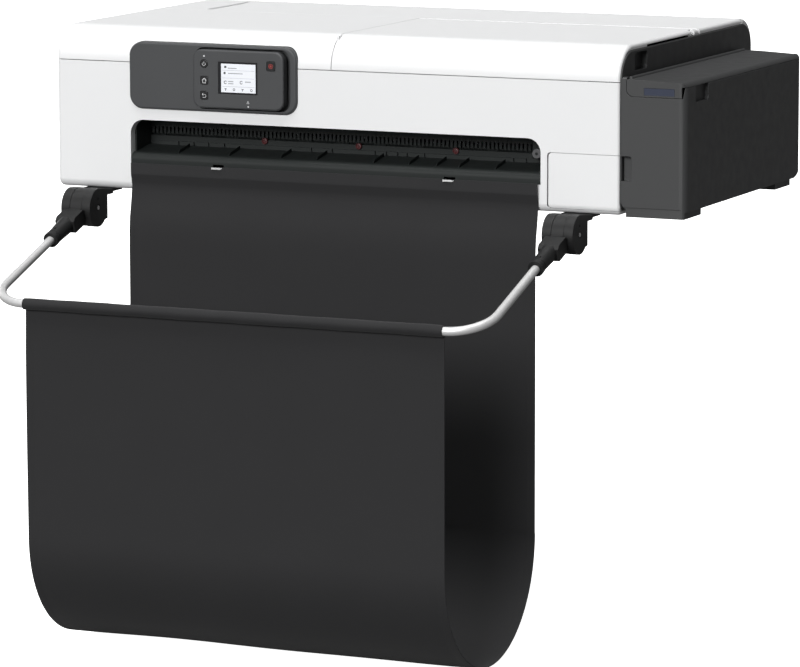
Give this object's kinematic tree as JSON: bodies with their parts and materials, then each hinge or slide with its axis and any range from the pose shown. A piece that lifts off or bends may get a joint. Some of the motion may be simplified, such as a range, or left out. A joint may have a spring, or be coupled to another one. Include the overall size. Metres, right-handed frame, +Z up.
{
  "type": "large format plotter",
  "caption": "Desktop large format ink-jet plotter with roll feed, opening covers, side ink box, tilting control pod and a cloth output basket on a folding tube frame.",
  "frame": {"origin": "centre of the four stand bolt holes, which is the centre of the unit's 968 by 525 mm footprint, on the desk plane", "axes": "+X to the right along the unit's width, -Y out of the front where prints come out, +Z up"},
  "size_m": [0.968, 0.8612, 0.8398],
  "materials": {
    "cover_white": "fine satin moulded plastic, off-white",
    "case_black": "fine-textured black plastic",
    "panel_charcoal": "satin charcoal plastic",
    "mech_black": "dark moulded plastic",
    "button_black": "glossy key cap",
    "lamp": "clear lamp lens",
    "screen_glass": "black cover glass",
    "screen_lit": "lit display",
    "light_bar": "smoked blue light guide",
    "sheet_steel": "zinc-coated sheet steel",
    "bright_steel": "ground steel",
    "tube_aluminium": "satin anodised tube",
    "rubber": "moulded rubber",
    "cloth": "close-woven black cloth",
    "tank_plastic": "translucent polypropylene",
    "board": "circuit board",
    "roller_grey": "grey engineering plastic"
  },
  "bodies": {
    "base": {"lower_front_cover": "cover_white", "upper_left_cover": "cover_white", "left_side_cover": "cover_white", "rear_cover": "cover_white", "right_side_panel": "case_black", "hinge_beam": "mech_black", "base_pan": "sheet_steel", "rubber_feet": "rubber", "chassis": "sheet_steel", "carriage_rail": "sheet_steel", "guide_shaft": "bright_steel", "timing_belt": "rubber", "drive_motors": "bright_steel", "platen": "mech_black", "pinch_holder": "mech_black", "exit_bars": "mech_black", "capping_station": "mech_black", "maintenance_cartridge": "roller_grey", "output_guide": "mech_black", "panel_frame": "panel_charcoal", "ink_housing": "case_black", "ink_tanks": "tank_plastic", "tank_caps": "mech_black", "electronics": "board", "rear_connectors": "mech_black", "roll_cradle": "mech_black", "basket_brackets": "case_black", "pivot_pins": "bright_steel", "cloth_pouch": "cloth", "cloth_back": "cloth", "basket_hooks": "tube_aluminium"},
    "access_cover": {"access_cover": "cover_white"},
    "roll_cover": {"roll_cover": "cover_white"},
    "ink_cover": {"ink_cover": "case_black", "ink_light": "light_bar"},
    "maintenance_cover": {"maintenance_cover": "cover_white"},
    "control_pod": {"control_pod": "panel_charcoal", "display_glass": "screen_glass", "display_screen": "screen_lit", "indicator_lamps": "lamp"},
    "power_button": {"power_button": "button_black"},
    "home_button": {"home_button": "button_black"},
    "back_button": {"back_button": "button_black"},
    "stop_button": {"stop_button": "button_black"},
    "carriage": {"carriage": "mech_black", "print_head": "roller_grey"},
    "motor_pulley": {"motor_pulley": "roller_grey"},
    "idler_pulley": {"idler_pulley": "roller_grey"},
    "feed_roller": {"feed_roller": "bright_steel"},
    "motor_gear": {"motor_gear": "roller_grey"},
    "pinch_rollers": {"pinch_rollers": "rubber"},
    "exit_roller": {"exit_roller": "mech_black"},
    "star_wheels": {"star_wheels": "bright_steel"},
    "cutter": {"cutter_carriage": "mech_black"},
    "cutter_wheel": {"cutter_wheel": "bright_steel"},
    "roll_spindle": {"roll_spindle": "mech_black"},
    "basket_arms": {"arm_sockets": "case_black", "basket_tube": "tube_aluminium", "basket_sleeve": "cloth"},
    "cloth_front": {"cloth_front": "cloth"}
  },
  "joints": [
    {"name": "access_lift", "type": "hinge", "parent": "base", "child": "access_cover", "pos_m": [0.164, 0.0375, 0.2287], "axis": [-1, 0, 0], "range_deg": [0, 75]},
    {"name": "roll_cover_lift", "type": "hinge", "parent": "base", "child": "roll_cover", "pos_m": [-0.05, 0.2155, 0.2287], "axis": [-1, 0, 0], "range_deg": [0, 50]},
    {"name": "ink_cover_lift", "type": "hinge", "parent": "base", "child": "ink_cover", "pos_m": [0.3975, -0.0295, 0.1893], "axis": [0, -1, 0], "range_deg": [0, 85]},
    {"name": "maintenance_swing", "type": "hinge", "parent": "base", "child": "maintenance_cover", "pos_m": [0.284, -0.2601, 0.045], "axis": [0, 0, -1], "range_deg": [0, 75]},
    {"name": "pod_tilt", "type": "hinge", "parent": "base", "child": "control_pod", "pos_m": [-0.189, -0.2705, 0.2005], "axis": [-1, 0, 0], "range_deg": [0, 35]},
    {"name": "carriage_slide", "type": "slide", "parent": "base", "child": "carriage", "axis": [-1, 0, 0], "range_m": [0, 0.69]},
    {"name": "motor_pulley_spin", "type": "hinge", "parent": "base", "child": "motor_pulley", "pos_m": [0.354, -0.0435, 0.16], "axis": [0, 1, 0], "range_deg": [0, 4600]},
    {"name": "idler_pulley_spin", "type": "hinge", "parent": "base", "child": "idler_pulley", "pos_m": [-0.428, -0.0435, 0.16], "axis": [0, 1, 0], "range_deg": [0, 4600]},
    {"name": "feed_spin", "type": "hinge", "parent": "base", "child": "feed_roller", "pos_m": [-0.069, -0.0375, 0.08], "axis": [1, 0, 0], "continuous": true},
    {"name": "motor_gear_spin", "type": "hinge", "parent": "base", "child": "motor_gear", "pos_m": [-0.456, 0.00265, 0.08], "axis": [1, 0, 0], "continuous": true},
    {"name": "pinch_spin", "type": "hinge", "parent": "base", "child": "pinch_rollers", "pos_m": [-0.069, -0.0375, 0.0944], "axis": [1, 0, 0], "continuous": true},
    {"name": "exit_spin", "type": "hinge", "parent": "base", "child": "exit_roller", "pos_m": [-0.069, -0.1905, 0.076], "axis": [1, 0, 0], "continuous": true},
    {"name": "star_spin", "type": "hinge", "parent": "base", "child": "star_wheels", "pos_m": [-0.069, -0.1905, 0.0879], "axis": [1, 0, 0], "continuous": true},
    {"name": "cutter_slide", "type": "slide", "parent": "base", "child": "cutter", "axis": [-1, 0, 0], "range_m": [0, 0.59]},
    {"name": "cutter_wheel_spin", "type": "hinge", "parent": "cutter", "child": "cutter_wheel", "pos_m": [0.25, -0.228, 0.077], "axis": [0, -1, 0], "range_deg": [0, 5250]},
    {"name": "roll_spin", "type": "hinge", "parent": "base", "child": "roll_spindle", "pos_m": [-0.048, 0.1525, 0.118], "axis": [1, 0, 0], "continuous": true},
    {"name": "basket_tilt", "type": "hinge", "parent": "base", "child": "basket_arms", "pos_m": [-0.0478, -0.3055, -0.022], "axis": [1, 0, 0], "range_deg": [0, 71], "deforming": ["cloth_pouch"]},
    {"name": "cloth_level", "type": "hinge", "parent": "basket_arms", "child": "cloth_front", "pos_m": [-0.0478, -0.59048, -0.12013], "axis": [1, 0, 0], "range_deg": [-71.5, 0.5]},
    {"name": "power_press", "type": "slide", "parent": "control_pod", "child": "power_button", "axis": [0, 1, 0], "range_m": [0, 0.0012], "stiffness_N_per_m": 600},
    {"name": "home_press", "type": "slide", "parent": "control_pod", "child": "home_button", "axis": [0, 1, 0], "range_m": [0, 0.0012], "stiffness_N_per_m": 600},
    {"name": "back_press", "type": "slide", "parent": "control_pod", "child": "back_button", "axis": [0, 1, 0], "range_m": [0, 0.0012], "stiffness_N_per_m": 600},
    {"name": "stop_press", "type": "slide", "parent": "control_pod", "child": "stop_button", "axis": [0, 1, 0], "range_m": [0, 0.0012], "stiffness_N_per_m": 600}
  ],
  "couplings": [
    {"joint": "motor_pulley_spin", "follows": "carriage_slide", "rad_per_m": 114.29},
    {"joint": "idler_pulley_spin", "follows": "carriage_slide", "rad_per_m": 114.29},
    {"joint": "motor_gear_spin", "follows": "feed_spin", "ratio": -4},
    {"joint": "pinch_spin", "follows": "feed_spin", "ratio": -1.8},
    {"joint": "exit_spin", "follows": "feed_spin", "ratio": 1.5},
    {"joint": "star_spin", "follows": "feed_spin", "ratio": -1.6364},
    {"joint": "cutter_wheel_spin", "follows": "cutter_slide", "rad_per_m": 153.85},
    {"joint": "cloth_level", "follows": "basket_tilt", "ratio": -1}
  ]
}
